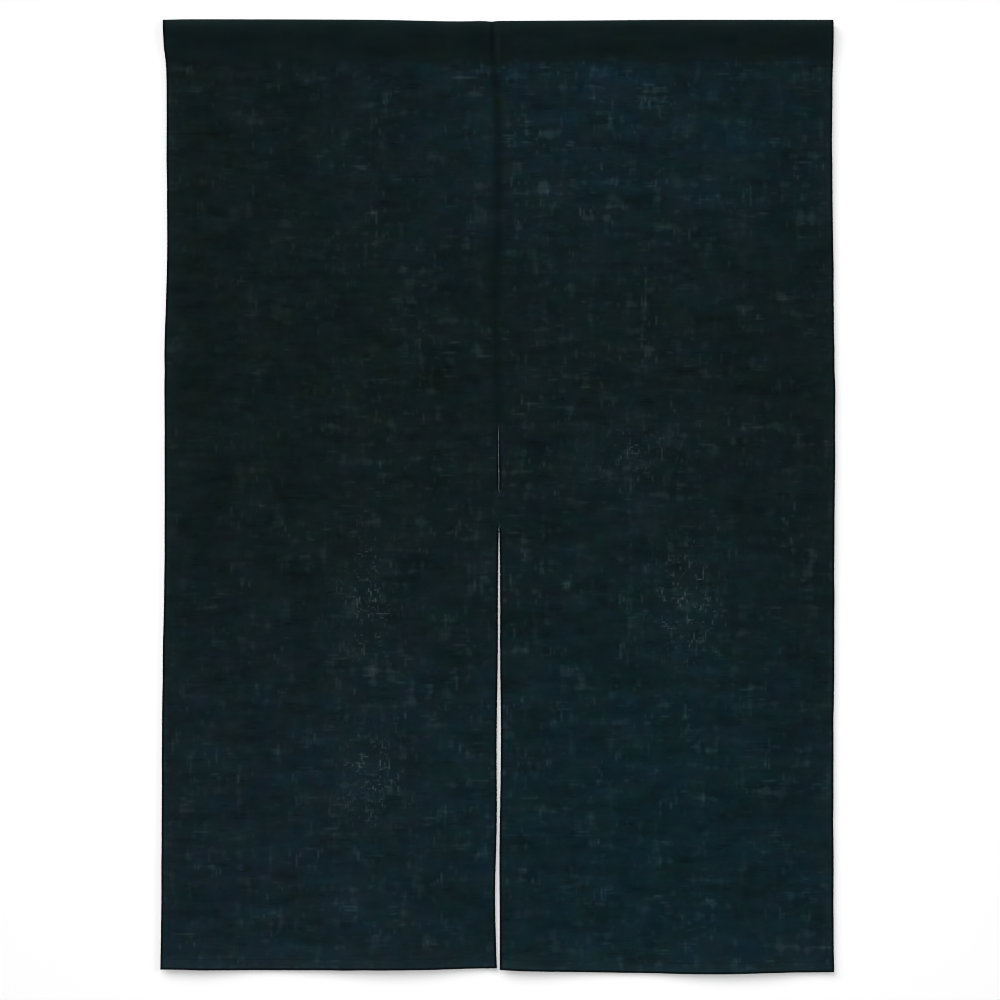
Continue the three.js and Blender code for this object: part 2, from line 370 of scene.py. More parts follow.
# Wall, floor and camera, in metres
WALL_BEHIND = 10 * MM
WALL_REACH = 6.0
WALL_WHITE = (0.85, 0.85, 0.85, 1)
FLOOR_BELOW = 2.2
FLOOR_REACH = 14.0
FLOOR_PALE = (0.8, 0.79, 0.78, 1)
FLOOR_GLOW = 0.7
FRAME_WIDTH = 1.2657  # what the picture spans at the cloth
VIEW_CENTRE = (2.3 * MM, -605.6 * MM)  # across and up, of the picture's middle
CAMERA_AWAY = 6.0
CAMERA_SENSOR = 36.0  # millimetres
CAMERA_SIGHT = 50.0
PIXEL_FILTER = 1.0  # pixels, for a crisp picture

# Area lights, aimed at the picture's middle: metres, watts, and degrees of spread
LIGHTS = (
    dict(name="front_light", place=(0, -7.0, VIEW_CENTRE[1]), size=(1.6, 1.6), watts=22, spread=50),
    dict(name="key_light", place=(-7.0, -14.9, 11.4), size=(20.4, 13.9), watts=1560, spread=110),
    dict(name="fill_light", place=(8.0, -10.4, 2.0), size=(5.0, 5.0), watts=110, spread=110),
    dict(name="rear_light", place=(1.5, 4.5, 0.8), size=(2.5, 2.5), watts=60, spread=60),
)
WORLD_LIGHT = 0.05  # what the white surroundings give
WORLD_SEEN = 1.0  # how bright they look in the picture


# Curves and noise


def curve_through(rows, start, end):
    """A smooth curve through the rows of a table, from one of its columns to another."""
    at = np.array([row[start] for row in rows], float)
    value = np.array([row[end] for row in rows], float)
    before = np.maximum(np.arange(len(at)) - 1, 0)
    after = np.minimum(np.arange(len(at)) + 1, len(at) - 1)
    slope = (value[after] - value[before]) / (at[after] - at[before])

    def curve(x):
        i = np.clip(np.searchsorted(at, x, side="right") - 1, 0, len(at) - 2)
        span = at[i + 1] - at[i]
        t = np.clip((x - at[i]) / span, 0, 1)
        bend = t * t * (3 - 2 * t)
        bulge = span * t * (1 - t) * (slope[i] * (1 - t) - slope[i + 1] * t)
        return value[i] + (value[i + 1] - value[i]) * bend + bulge

    return curve


def bell(distance, width):
    return np.exp(-((distance / width) ** 2))


def ramp(x, low, high):
    """A smooth step from 0 at low to 1 at high."""
    t = np.clip((x - low) / (high - low), 0, 1)
    return t * t * (3 - 2 * t)


def soft_noise(x, y, size, seed):
    """Smooth noise from -1 to 1, with features about this size."""
    cells = 64
    lattice = np.random.default_rng(seed).uniform(-1, 1, (cells, cells))
    u, v = np.broadcast_arrays(x / size, y / size)
    i, j = np.floor(u).astype(int), np.floor(v).astype(int)
    s, t = ramp(u - i, 0, 1), ramp(v - j, 0, 1)
    low = lattice[i % cells, j % cells] * (1 - s) + lattice[(i + 1) % cells, j % cells] * s
    high = lattice[i % cells, (j + 1) % cells] * (1 - s) + lattice[(i + 1) % cells, (j + 1) % cells] * s
    return low * (1 - t) + high * t


left_out = curve_through(SIDE_EDGES, "down", "left")
right_out = curve_through(SIDE_EDGES, "down", "right")
seam_line = curve_through(SEAM_LINE, "down", "across")
slit_gap = curve_through(SLIT_GAPS, "down", "gap")
top_rise = curve_through(TOP_FOLD, "across", "rise")
pocket_full = curve_through(TOP_FOLD, "across", "full")


def outer_edge(side, down):
    """Where a panel's outer edge runs, with the fine waves of a sewn edge."""
    out = (left_out if side < 0 else right_out)(down / DROP) * MM
    wave = EDGE_WAVE * soft_noise(down, 0 * down, EDGE_WAVE_SIZE, EDGE_SEED + side)
    return side * (WIDTH / 2 + out + wave)


def seam_across(down):
    return seam_line(down / DROP) * MM


def slit_edge(side, down):
    gap = np.maximum(TOUCH, slit_gap(down / DROP) * MM)
    return seam_across(down) + side * gap / 2


def hem_cover(width, distance):
    """How far a hem of this width covers a point at this distance from its edge, 0 to 1."""
    return np.clip((width + HEM_STEP - distance) / HEM_STEP, 0, 1)


def spots(table, column, across, down):
    """The sum of a table's soft spots at each point."""
    total = 0 * across
    for spot in table:
        beside = bell(across - spot["across"] * MM, spot["wide"] * MM)
        total = total + spot[column] * beside * bell(down - spot["down"] * MM, spot["tall"] * MM)
    return total


# Slow drift of tone, partly the dye and partly painted light; pale specks of painted light where the weave
# is open; and slubs
def dye_and_light_looks(across, down):
    return dict(
        blue=spots(DYE_AND_LIGHT_SPOTS, "blue", across, down),
        teal=spots(DYE_AND_LIGHT_SPOTS, "teal", across, down),
        open=spots(OPEN_SPOTS, "open", across, down),
        slub=1 + spots(SLUB_SPOTS, "slub", across, down),
    )


def band_painted_shade(across, down):
    """Painted shade: 1 over the doubled cloth of the pocket, fading unevenly into the single cloth below its
    edge.
    """
    uneven = BAND_UNEVEN * soft_noise(across, down, BAND_UNEVEN_SIZE, BAND_SEED)
    return 1 - ramp(down + uneven, *BAND_FADE)


def edge_painted_shade(distance):
    """Painted shade: 1 along a folded edge, where the cloth turns away, and 0 a little inside it."""
    return 1 - ramp(distance, *RIM_FADE)


# Meshes


def grid_faces(rows, columns):
    index = np.arange(rows * columns).reshape(rows, columns)
    corners = (index[:-1, :-1], index[1:, :-1], index[1:, 1:], index[:-1, 1:])
    return np.stack(corners, -1).reshape(-1, 4)


def border_of(rows, columns):
    """The grid's border points in order, round the top, right, bottom and left."""
    index = np.arange(rows * columns).reshape(rows, columns)
    return np.concatenate((index[0, :-1], index[:-1, -1], index[-1, :0:-1], index[:0:-1, 0]))


def make_piece(name, points, faces, material, smooth_angle=60):
    mesh = bpy.data.meshes.new(name)
    mesh.from_pydata(points.tolist(), [], faces)
    mesh.polygons.foreach_set("use_smooth", [True] * len(mesh.polygons))
    mesh.set_sharp_from_angle(angle=math.radians(smooth_angle))
    mesh.materials.append(material)
    piece = bpy.data.objects.new(name, mesh)
    bpy.context.scene.collection.objects.link(piece)
    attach(piece, "root")
    return piece


def set_values(piece, name, values):
    """Stores a number for each point, which the material reads."""
    piece.data.attributes.new(name, "FLOAT", "POINT").data.foreach_set("value", values.astype(np.float32))


def set_places(piece, places):
    """Stores where each point lies on the flat cloth: along the weft, along the warp."""
    flat = np.concatenate((places, np.zeros((len(places), 1))), 1).astype(np.float32)
    piece.data.attributes.new("place", "FLOAT_VECTOR", "POINT").data.foreach_set("vector", flat.ravel())


def closed_sheet(name, front, back, rim, looks, material):
    """A closed sheet from a front and a back grid of points, joined round their borders by rim points.

    looks gives, by name, the values of the front grid that the material reads."""
    rows, columns = front.shape[:2]
    count = rows * columns
    border = border_of(rows, columns)
    ring = 2 * count + np.arange(len(border))
    after = np.roll(np.arange(len(border)), -1)
    faces = grid_faces(rows, columns)
    edge_front = np.stack((border, border[after], ring[after], ring), -1)
    edge_back = np.stack((ring, ring[after], border[after] + count, border + count), -1)
    all_faces = np.concatenate((faces, faces[:, ::-1] + count, edge_front, edge_back)).tolist()
    points = np.concatenate((front.reshape(-1, 3), back.reshape(-1, 3), rim))
    piece = make_piece(name, points, all_faces, material)
    for look, values in looks.items():
        flat = values.reshape(count, -1)
        every = np.concatenate((flat, flat, flat[border]))
        if look == "place":
            set_places(piece, every)
        else:
            set_values(piece, look, every.ravel())
    return piece


def spaced(start, end, pitch):
    return np.linspace(start, end, max(2, round((end - start) / pitch) + 1))


def hem_places(width):
    """Places close together from a hem's edge, over its stitches, to the step at its inner edge."""
    start, end = HEM_MIDDLE
    inner = width + HEM_STEP
    return np.concatenate((
        EDGE_PLACES,
        spaced(start * width, end * width, HEM_GRID),
        width - STITCH_INSET + DENT_PLACES,
        np.array((width, inner, inner + HEM_PAST)),
    ))


# The panels


def panel_layout(panel, share, fall):
    """Where points of a panel lie, across and down, and how far from its edges.

    share runs from the outer edge to the slit, and fall from the pocket to the hem, each from 0 to 1."""
    side = panel["side"]
    share, fall = np.broadcast_arrays(share, fall)
    hem_longer = curve_through(panel["hem_line"], "share", "longer")
    wave = EDGE_WAVE * soft_noise(share * WIDTH / 2, 0 * share, EDGE_WAVE_SIZE, panel["seed"])
    bottom = DROP + hem_longer(share) * MM + wave
    down = POCKET_DROP + TOUCH + fall * (bottom - POCKET_DROP - TOUCH)
    outer = outer_edge(side, down)
    slit = slit_edge(side, down)
    across = outer + share * (slit - outer)
    return SimpleNamespace(
        across=across,
        down=down,
        from_outer=np.abs(across - outer),
        from_slit=np.abs(across - slit),
        from_bottom=bottom - down,
        closed=down / DROP < SLIT_START,
        sewn=1 - ramp(down / DROP, SLIT_START - SLIT_FADE, SLIT_START + SLIT_FADE),
        hangs=ramp(down, POCKET_DROP, POCKET_DROP + HANG_FADE),
        deepens=ramp(down, POCKET_DROP, POCKET_DROP + VALLEY_FADE),
    )


def panel_middle(panel, spot):
    """Depth of a panel's middle surface: its folds, its dimples and the valley along the seam."""
    middle = np.full(spot.down.shape, -LAYER / 2)
    for fold in panel["folds"]:
        crest = fold["share"] * (spot.from_outer + spot.from_slit) + fold["drift"] * MM * spot.down / DROP
        swell = bell(spot.from_outer - crest, fold["width"] * MM) * ramp(spot.down / DROP, fold["start"], 1)
        middle -= fold["rise"] * MM * swell
    for dimple in DIMPLES:
        noise = soft_noise(spot.across, spot.down, dimple["size"] * MM, dimple["seed"])
        middle += dimple["height"] * MM * spot.hangs * noise
    valley = VALLEY_DEPTH * bell(spot.from_slit, VALLEY_WIDTH)
    valley += CREASE_DEPTH * bell(spot.from_slit, CREASE_WIDTH)
    return middle + valley * spot.sewn * spot.deepens


def panel_hems(panel, spot):
    """How far a panel's hems and seam turnings cover each point, 0 to 1."""
    on_slit = hem_cover(SLIT_HEM, spot.from_slit) * np.where(spot.closed, panel["turnings"], 1)
    on_side = hem_cover(SIDE_HEM, spot.from_outer)
    on_bottom = hem_cover(BOTTOM_HEM, spot.from_bottom)
    return np.maximum.reduce((on_side, on_slit, on_bottom))


def panel_dents(spot):
    """How deep the stitches draw the cloth in along a panel's hems."""
    at_side = bell(spot.from_outer - SIDE_HEM + STITCH_INSET, STITCH_DENT_WIDTH)
    at_slit = bell(spot.from_slit - SLIT_HEM + STITCH_INSET, STITCH_DENT_WIDTH) * (1 - spot.sewn)
    at_bottom = bell(spot.from_bottom - BOTTOM_HEM + STITCH_INSET, STITCH_DENT_WIDTH)
    return STITCH_DENT * np.maximum.reduce((at_side, at_slit, at_bottom))


def panel_looks(spot):
    parted = ramp(slit_gap(spot.down / DROP), *RIM_GAPS)
    # Painted shade along the folded edges of the slit, the outer side and the bottom
    slit_painted_shade = edge_painted_shade(spot.from_slit) * parted * ~spot.closed
    outer_painted_shade = edge_painted_shade(np.minimum(spot.from_outer, spot.from_bottom))
    # Painted shade in the seam's valley, and over its turnings on both sides of it
    seam_valley_painted_shade = SEAM_SHADE * bell(spot.from_slit, SEAM_SHADE_WIDTH) * spot.sewn * spot.deepens
    seam_doubled_shade = bell(spot.from_slit, SEAM_DOUBLED_SHADE_WIDTH) * spot.sewn
    # Painted light: the cloth lighter along its outer edge and its bottom
    side_glow = np.exp(-spot.from_outer / SIDE_GLOW_REACH)
    bottom_glow = BOTTOM_GLOW * np.exp(-spot.from_bottom / BOTTOM_GLOW_REACH)
    return dict(
        place=np.stack((spot.across, spot.down), -1),
        doubled=np.maximum(seam_doubled_shade, band_painted_shade(spot.across, spot.down)),
        glow=np.maximum(side_glow, bottom_glow),
        rim=np.maximum.reduce((outer_painted_shade, slit_painted_shade, seam_valley_painted_shade)),
        **dye_and_light_looks(spot.across, spot.down),
    )


def panel_surface(panel, share, fall):
    """Front points, back points and looks of a panel, at shares of its width and its fall."""
    spot = panel_layout(panel, share, fall)
    cover = panel_hems(panel, spot)
    dent = panel_dents(spot)
    puckers = soft_noise(spot.across + PUCKER_SHIFT, spot.down, PUCKER_SIZE, panel["seed"])
    middle = panel_middle(panel, spot) + PUCKER * cover * spot.hangs * puckers
    front = middle - LAYER / 2 - HEM_FRONT * cover + dent
    back = middle + LAYER / 2 + HEM_BACK * cover - dent
    front_points = np.stack((spot.across, front, -spot.down), -1)
    back_points = np.stack((spot.across, back, -spot.down), -1)
    return front_points, back_points, panel_looks(spot)


def panel_grid(panel):
    half = WIDTH / 2
    side_places = hem_places(SIDE_HEM)
    slit_places = half - hem_places(SLIT_HEM)[::-1]
    columns = np.concatenate((side_places, spaced(side_places[-1], slit_places[0], GRID)[1:-1], slit_places))
    length = DROP - POCKET_DROP
    bottom_places = length - hem_places(BOTTOM_HEM)[::-1]
    rows = np.concatenate((spaced(0, bottom_places[0], GRID)[:-1], bottom_places))
    share = columns / half
    return (share if panel["side"] < 0 else share[::-1]), rows / length


def panel_cloth(panel, material):
    share, fall = panel_grid(panel)
    down = POCKET_DROP + fall * (DROP - POCKET_DROP)
    parted = ramp(slit_gap(down / DROP), *ROUND_GAPS) * (down / DROP > SLIT_START)
    inset = TOUCH + (EDGE_ROUND - TOUCH) * parted
    at_slit = 1 - inset / (WIDTH / 2)
    shares = np.where(share == share.max(), at_slit[:, None], share)
    front, back, looks = panel_surface(panel, shares, fall[:, None])
    # The rim lies on the outline itself, half way between the rounded front and back.
    outline_share = np.where(share == share.min(), 0, np.where(share == share.max(), 1, share))
    outline_fall = np.where(fall == fall.max(), 1, fall)
    rim_front, rim_back, _ = panel_surface(panel, outline_share[None, :], outline_fall[:, None])
    rim = ((rim_front + rim_back) / 2).reshape(-1, 3)[border_of(*front.shape[:2])]
    name = panel["name"] + "_cloth"
    return closed_sheet(name, front, back, rim, looks, material)


# The rod pocket


def pocket_path():
    """The pocket's section as one layer: depth and height of its outer and inner face, and its length.

    It runs from the back's lower edge up over the rod's room and down the front."""
    radius = ROD_ROOM / 2
    centre = -(LAYER + radius)
    tip = -(POCKET_DROP - POCKET_LIP)
    lean = math.asin(radius / (centre - tip))
    turn = np.linspace(-lean, math.pi + lean, ARC_POINTS)
    arc = np.stack((radius * np.cos(turn), centre + radius * np.sin(turn)), -1)
    slope = spaced(0, 1, 1 / SLOPE_STEPS)[:, None]
    tip_point = np.array((0.0, tip))
    up = tip_point + slope * (arc[0] - tip_point)
    fall = arc[-1] + slope * (tip_point - arc[-1])
    flat = np.zeros(LIP_POINTS)
    back_lip = np.stack((flat, np.linspace(-(POCKET_DROP + POCKET_TAIL), tip, LIP_POINTS)), -1)
    front_lip = np.stack((flat, np.linspace(tip, -POCKET_DROP, LIP_POINTS)), -1)
    inner = np.concatenate((back_lip[:-1], up[:-1], arc, fall[1:-1], front_lip))
    # Smooth the turn from the sloping layers into the lip, and lay the outer face a layer away.
    for _ in range(LIP_SMOOTHINGS):
        inner[1:-1] = (inner[:-2] + 2 * inner[1:-1] + inner[2:]) / 4
    along = np.gradient(inner, axis=0)
    along /= np.linalg.norm(along, axis=1)[:, None]
    outward = np.stack((along[:, 1], -along[:, 0]), -1)
    half = len(inner) // 2
    inner[:half, 0] = np.maximum(inner[:half, 0], TOUCH)
    inner[half:, 0] = np.minimum(inner[half:, 0], -TOUCH)
    steps = np.linalg.norm(np.diff(inner, axis=0), axis=1)
    length = np.concatenate(((0,), np.cumsum(steps)))
    return inner + LAYER * outward, inner, length


def pocket_surface(places, section):
    """Points of the pocket at places across it, for a section of (depth, height) points.

    It also gives how far right of the seam they lie."""
    depth, height = section[:, None, 0], section[:, None, 1]
    down = np.maximum(-height, 0)
    half = WIDTH / 2
    stretch = np.where(places < 0, -outer_edge(-1, down), outer_edge(1, down)) / half
    across = places * stretch
    from_seam = across - seam_across(down)
    turnings = ramp(from_seam, 0, SEAM_ROUND) * (1 - ramp(from_seam, SLIT_HEM, SLIT_HEM + SEAM_ROUND))
    relief = SEAM_RIDGE * turnings - SEAM_GROOVE * bell(from_seam, SEAM_ROUND)
    share = places / half
    uneven = POCKET_UNEVEN * soft_noise(across, down, POCKET_UNEVEN_SIZE, POCKET_SEED)
    full = pocket_full(share) + relief / (ROD_ROOM / 2) + uneven
    rise = top_rise(share) * MM - NOTCH_DEPTH * bell(from_seam, NOTCH_WIDTH)
    lift = rise * np.clip(1 + height / POCKET_DROP, 0, None)
    stitches = bell(height + POCKET_DROP - STITCH_INSET, STITCH_DENT_WIDTH)
    pinch = STITCH_DENT * stitches * np.sign(depth)
    return np.stack((across, depth * full - pinch, height + lift), -1), from_seam


def pocket_looks(places, front, from_seam, length):
    """Looks of the pocket, at places across it and lengths along its section, with its painted light and
    painted shade.
    """
    across = front[..., 0]
    down = np.maximum(-front[..., 2], 0)
    warp_place = POCKET_DROP - (length[-1] - length)[:, None] + 0 * down
    from_end = WIDTH / 2 - np.abs(places)[None, :] + 0 * down
    # Painted light along the ends, the top fold, the seam's ridge and above the lip
    end_glow = POCKET_SIDE_GLOW * np.exp(-from_end / SIDE_GLOW_REACH)
    top_glow = TOP_GLOW * np.exp(-down / TOP_GLOW_REACH)
    ridge_glow = RIDGE_GLOW * bell(from_seam - RIDGE_PLACE, RIDGE_WIDTH)
    uneven = LIP_UNEVEN * soft_noise(places[None, :], down, LIP_UNEVEN_SIZE, LIP_SEED)
    lip_glow = LIP_GLOW * ramp(down + uneven, *LIP_RISE) * (1 - ramp(down, *LIP_FALL))
    # Painted shade in the groove at the seam
    groove_painted_shade = GROOVE_SHADE * bell(from_seam, GROOVE_SHADE_WIDTH)
    return dict(
        place=np.stack((across, warp_place), -1),
        doubled=np.maximum(band_painted_shade(across, down), POCKET_DOUBLED_SHADE),
        glow=np.maximum.reduce((end_glow, top_glow, ridge_glow, lip_glow)),
        # Painted shade along the pocket's folded ends and in its groove
        rim=np.maximum(edge_painted_shade(from_end), groove_painted_shade),
        **dye_and_light_looks(across, down),
    )


def pocket_cloth(material):
    outer, inner, length = pocket_path()
    half = WIDTH / 2
    between = spaced(POCKET_END - half, half - POCKET_END, GRID)
    places = np.concatenate((EDGE_PLACES - half, between, half - EDGE_PLACES[::-1]))
    front, from_seam = pocket_surface(places[None, :], outer)
    back, _ = pocket_surface(places[None, :], inner)
    # The rim lies on the outline itself, half way between the rounded faces.
    outline = np.where(places == places.min(), -half, np.where(places == places.max(), half, places))
    rim_outer, _ = pocket_surface(outline[None, :], outer)
    rim_inner, _ = pocket_surface(outline[None, :], inner)
    rim = ((rim_outer + rim_inner) / 2).reshape(-1, 3)[border_of(*front.shape[:2])]
    looks = pocket_looks(places, front, from_seam, length)
    return closed_sheet("rod_pocket_cloth", front, back, rim, looks, material)


# Stitching


def stitches_between(starts, ends, outward):
    """Points and faces of one short arched thread for each pair of a start and an end point."""
    sides, rings = THREAD_SIDES, THREAD_RINGS
    t = np.linspace(-1, 1, rings)
    lift = THREAD * (ARCH_RISE - ARCH_SINK * t**4)
    radius = THREAD * np.sqrt(np.clip(TAPER_FROM - t**4, TAPER_END, 1))
    angle = np.arange(sides) * 2 * math.pi / sides
    count = len(starts)
    along = ends - starts
    along /= np.linalg.norm(along, axis=1)[:, None]
    outward = np.broadcast_to(outward, starts.shape)
    beside = np.cross(along, outward)
    middle = starts[:, None] + (ends - starts)[:, None] * ((t + 1) / 2)[None, :, None]
    middle = middle + outward[:, None] * lift[None, :, None]
    around = (
        outward[:, None, None] * np.cos(angle)[None, None, :, None]
        + beside[:, None, None] * np.sin(angle)[None, None, :, None]
    )
    points = middle[:, :, None] + around * radius[None, :, None, None]
    ring = np.arange(sides)
    walls = [
        (k * sides + i, k * sides + (i + 1) % sides, (k + 1) * sides + (i + 1) % sides, (k + 1) * sides + i)
        for k in range(rings - 1)
        for i in range(sides)
    ]
    caps = [ring[::-1].tolist(), (ring + (rings - 1) * sides).tolist()]
    faces = []
    for n in range(count):
        base = n * rings * sides
        faces.extend([[base + corner for corner in face] for face in walls])
        faces.extend([[base + corner for corner in face] for face in caps])
    return points.reshape(-1, 3), faces


def join_stitches(name, rows, material):
    points, faces, base = [], [], 0
    for starts, ends, outward in rows:
        row_points, row_faces = stitches_between(starts, ends, np.array(outward, float))
        points.append(row_points)
        faces.extend([[base + corner for corner in face] for face in row_faces])
        base += len(row_points)
    return make_piece(name, np.concatenate(points), faces, material)


def stitch_spans(start, end):
    begins = np.arange(start, end - STITCH, STITCH_PITCH)
    return begins, begins + STITCH


def panel_stitching(panel, material):
    half = WIDTH / 2
    length = DROP - POCKET_DROP
    side_share = (SIDE_HEM - STITCH_INSET) / half
    slit_share = 1 - (SLIT_HEM - STITCH_INSET) / half
    hem_fall = 1 - (BOTTOM_HEM - STITCH_INSET) / length
    slit_top = SLIT_START * DROP - POCKET_DROP
    lines = []
    for share, first in ((side_share, SIDE_STITCHES_START), (slit_share, slit_top)):
        begins, ends = stitch_spans(first, hem_fall * length)
        lines.append(((share + 0 * begins, begins / length), (share + 0 * ends, ends / length)))
    begins, ends = stitch_spans(side_share * half, slit_share * half)
    lines.append(((begins / half, hem_fall + 0 * begins), (ends / half, hem_fall + 0 * ends)))
    rows = []
    for begin, end in lines:
        begin_front, begin_back, _ = panel_surface(panel, *begin)
        end_front, end_back, _ = panel_surface(panel, *end)
        rows.append((begin_front, end_front, (0, -1, 0)))
        rows.append((begin_back, end_back, (0, 1, 0)))
    return join_stitches(panel["name"] + "_stitching", rows, material)


def pocket_stitching(material):
    outer, _, _ = pocket_path()
    reach = WIDTH / 2 - POCKET_STITCHES_START
    begins, ends = stitch_spans(-reach, reach)
    height = -(POCKET_DROP - STITCH_INSET)
    rows = []
    for face, direction in ((outer[outer[:, 0] < 0], -1), (outer[outer[:, 0] > 0], 1)):
        nearest = face[np.argmin(np.abs(face[:, 1] - height))]
        section = np.array(((nearest[0], height),))
        starts, _ = pocket_surface(begins[None, :], section)
        finishes, _ = pocket_surface(ends[None, :], section)
        rows.append((starts[0], finishes[0], (0, direction, 0)))
    return join_stitches("rod_pocket_stitching", rows, material)


# Materials


class Graph:
    """A material's nodes, made and linked in one call each."""

    def __init__(self, name):
        self.material = bpy.data.materials.new(name)
        self.material.use_nodes = True
        self.tree = self.material.node_tree
        self.shader = self.tree.nodes["Principled BSDF"]

    def node(self, kind, inputs=(), **settings):
        node = self.tree.nodes.new(kind)
        for key, value in settings.items():
            setattr(node, key, value)
        for key, value in dict(inputs).items():
            self.feed(node.inputs[key], value)
        return node

    def feed(self, socket, value):
        if isinstance(value, bpy.types.NodeSocket):
            self.tree.links.new(value, socket)
        else:
            socket.default_value = value

    def math(self, operation, first, second=0.0, third=0.0):
        inputs = {0: first, 1: second, 2: third}
        return self.node("ShaderNodeMath", inputs, operation=operation).outputs[0]

    def value(self, name):
        return self.node("ShaderNodeAttribute", attribute_name=name).outputs["Fac"]

    def place(self):
        return self.node("ShaderNodeAttribute", attribute_name="place").outputs["Vector"]

    def noise(self, place, row):
        """Noise about zero, as a row of a table describes it."""
        scale = (1 / (row["weft"] * MM), 1 / (row["warp"] * MM), 1.0)
        shift = (row["shift"], SHIFT_WARP * row["shift"], 0.0)
        inputs = {"Vector": place, "Location": shift, "Scale": scale}
        spot = self.node("ShaderNodeMapping", inputs).outputs["Vector"]
        inputs = {"Vector": spot, "Scale": 1.0, "Detail": row["detail"]}
        noise = self.node("ShaderNodeTexNoise", inputs, noise_dimensions="2D")
        return self.math("SUBTRACT", noise.outputs["Fac"], 0.5)

    def zone(self, place, row):
        """A row's noise as a value from 0 to 1."""
        return self.ramp(self.noise(place, row), row["low"], row["high"])

    def ramp(self, value, low, high):
        inputs = {"Value": value, "From Min": low, "From Max": high}
        return self.node("ShaderNodeMapRange", inputs, interpolation_type="SMOOTHSTEP").outputs["Result"]

    def split(self, vector):
        """A vector's parts along the weft and along the warp."""
        parts = self.node("ShaderNodeSeparateXYZ", {0: vector}).outputs
        return parts[0], parts[1]

    def bump(self, height, strength, distance):
        inputs = {"Strength": strength, "Distance": distance, "Height": height}
        return self.node("ShaderNodeBump", inputs).outputs["Normal"]

    def dress(self, values):
        """Sets or links the shader's inputs, by name."""
        for name, value in values.items():
            self.feed(self.shader.inputs[name], value)

    def blend(self, share, first, second):
        mix = self.node("ShaderNodeMix", data_type="RGBA")
        self.feed(mix.inputs["Factor"], share)
        self.feed(mix.inputs["A"], first)
        self.feed(mix.inputs["B"], second)
        return mix.outputs["Result"]

    def scaled(self, colour, amount):
        inputs = {0: colour, "Scale": amount}
        return self.node("ShaderNodeVectorMath", inputs, operation="SCALE").outputs["Vector"]

    def tinted(self, colour, tint):
        inputs = {0: colour, 1: tint}
        return self.node("ShaderNodeVectorMath", inputs, operation="MULTIPLY").outputs["Vector"]

    def added(self, first, second):
        inputs = {0: first, 1: second}
        return self.node("ShaderNodeVectorMath", inputs, operation="ADD").outputs["Vector"]


def yarn_bars(graph, beside, along, row):
    """Short straight bars from 0 to 1 on yarns a pitch apart, each yarn with bars of its own."""
    count = graph.math("MULTIPLY", beside, 1 / (row["pitch"] * MM))
    yarn = graph.math("MULTIPLY_ADD", graph.math("FLOOR", count), YARN_JUMP, row["shift"])
    length = graph.math("MULTIPLY", along, 1 / (row["length"] * MM))
    spot = graph.node("ShaderNodeCombineXYZ", {0: yarn, 1: length}).outputs["Vector"]
    inputs = {"Vector": spot, "Scale": 1.0, "Detail": 1.0}
    noise = graph.node("ShaderNodeTexNoise", inputs, noise_dimensions="2D").outputs["Fac"]
    bars = graph.ramp(noise, row["sparse"], row["sparse"] + BAR_FADE)
    round_side = graph.math("SINE", graph.math("MULTIPLY", graph.math("FRACT", count), math.pi))
    return graph.math("MULTIPLY", bars, round_side)


def swayed(graph, place):
    """The place, moved by as much as the yarns stray there."""
    inputs = {"Vector": place, "Scale": 1 / SWAY_SIZE}
    sway = graph.node("ShaderNodeTexNoise", inputs, noise_dimensions="2D").outputs["Color"]
    return graph.added(place, graph.scaled(graph.added(sway, (-0.5, -0.5, -0.5)), SWAY))


def slubs(graph, place):
    """Where slubs show pale, where gaps show dark and where yarns are thick, each from 0 to about 1."""
    weft, warp = graph.split(swayed(graph, place))
    thick_warp = graph.noise(place, NOISE["thick_warp"])
    thick_weft = graph.noise(place, NOISE["thick_weft"])
    thick = graph.ramp(graph.math("ADD", thick_warp, thick_weft), *THICK_FADE)
    warp_bars = yarn_bars(graph, weft, warp, BARS["warp"])
    weft_bars = yarn_bars(graph, warp, weft, BARS["weft"])
    dark_bars = yarn_bars(graph, warp, weft, BARS["dark"])
    pale = graph.math("MULTIPLY", thick, SLUB_PARTS["thick"])
    for name, bars in (("warp_bars", warp_bars), ("weft_bars", weft_bars)):
        shown = graph.math("MULTIPLY", graph.zone(place, ZONES[name]), bars)
        pale = graph.math("MULTIPLY_ADD", shown, SLUB_PARTS[name], pale)
    pale = graph.math("MULTIPLY", pale, graph.zone(place, ZONES["slubby"]))
    dark = graph.math("MULTIPLY", graph.zone(place, ZONES["dark_bars"]), dark_bars)
    return pale, dark, thick


def open_specks(graph, place):
    """Pale dashes from 0 to 1, crossing each other in clumps where the weave is open: painted light of the
    wall behind, seen through the weave.
    """
    weft, warp = graph.split(place)
    upright = yarn_bars(graph, weft, warp, BARS["upright_speck"])
    level = yarn_bars(graph, warp, weft, BARS["level_speck"])
    shows = graph.math("MULTIPLY", graph.math("MAXIMUM", upright, level), graph.zone(place, ZONES["specks"]))
    return graph.math("MULTIPLY", shows, graph.value("open"))


def weave_bump(graph, place, thick):
    """Fine bump of crossing yarns, raised where the yarns are thick."""
    weft, warp = graph.split(graph.tinted(place, (math.pi / YARN,) * 3))
    weave = graph.math("MULTIPLY", graph.math("SINE", weft), graph.math("SINE", warp))
    height = graph.math("MULTIPLY_ADD", thick, WEAVE_BUMP["thick"], weave)
    return graph.bump(height, WEAVE_BUMP["strength"], WEAVE_BUMP["height"])


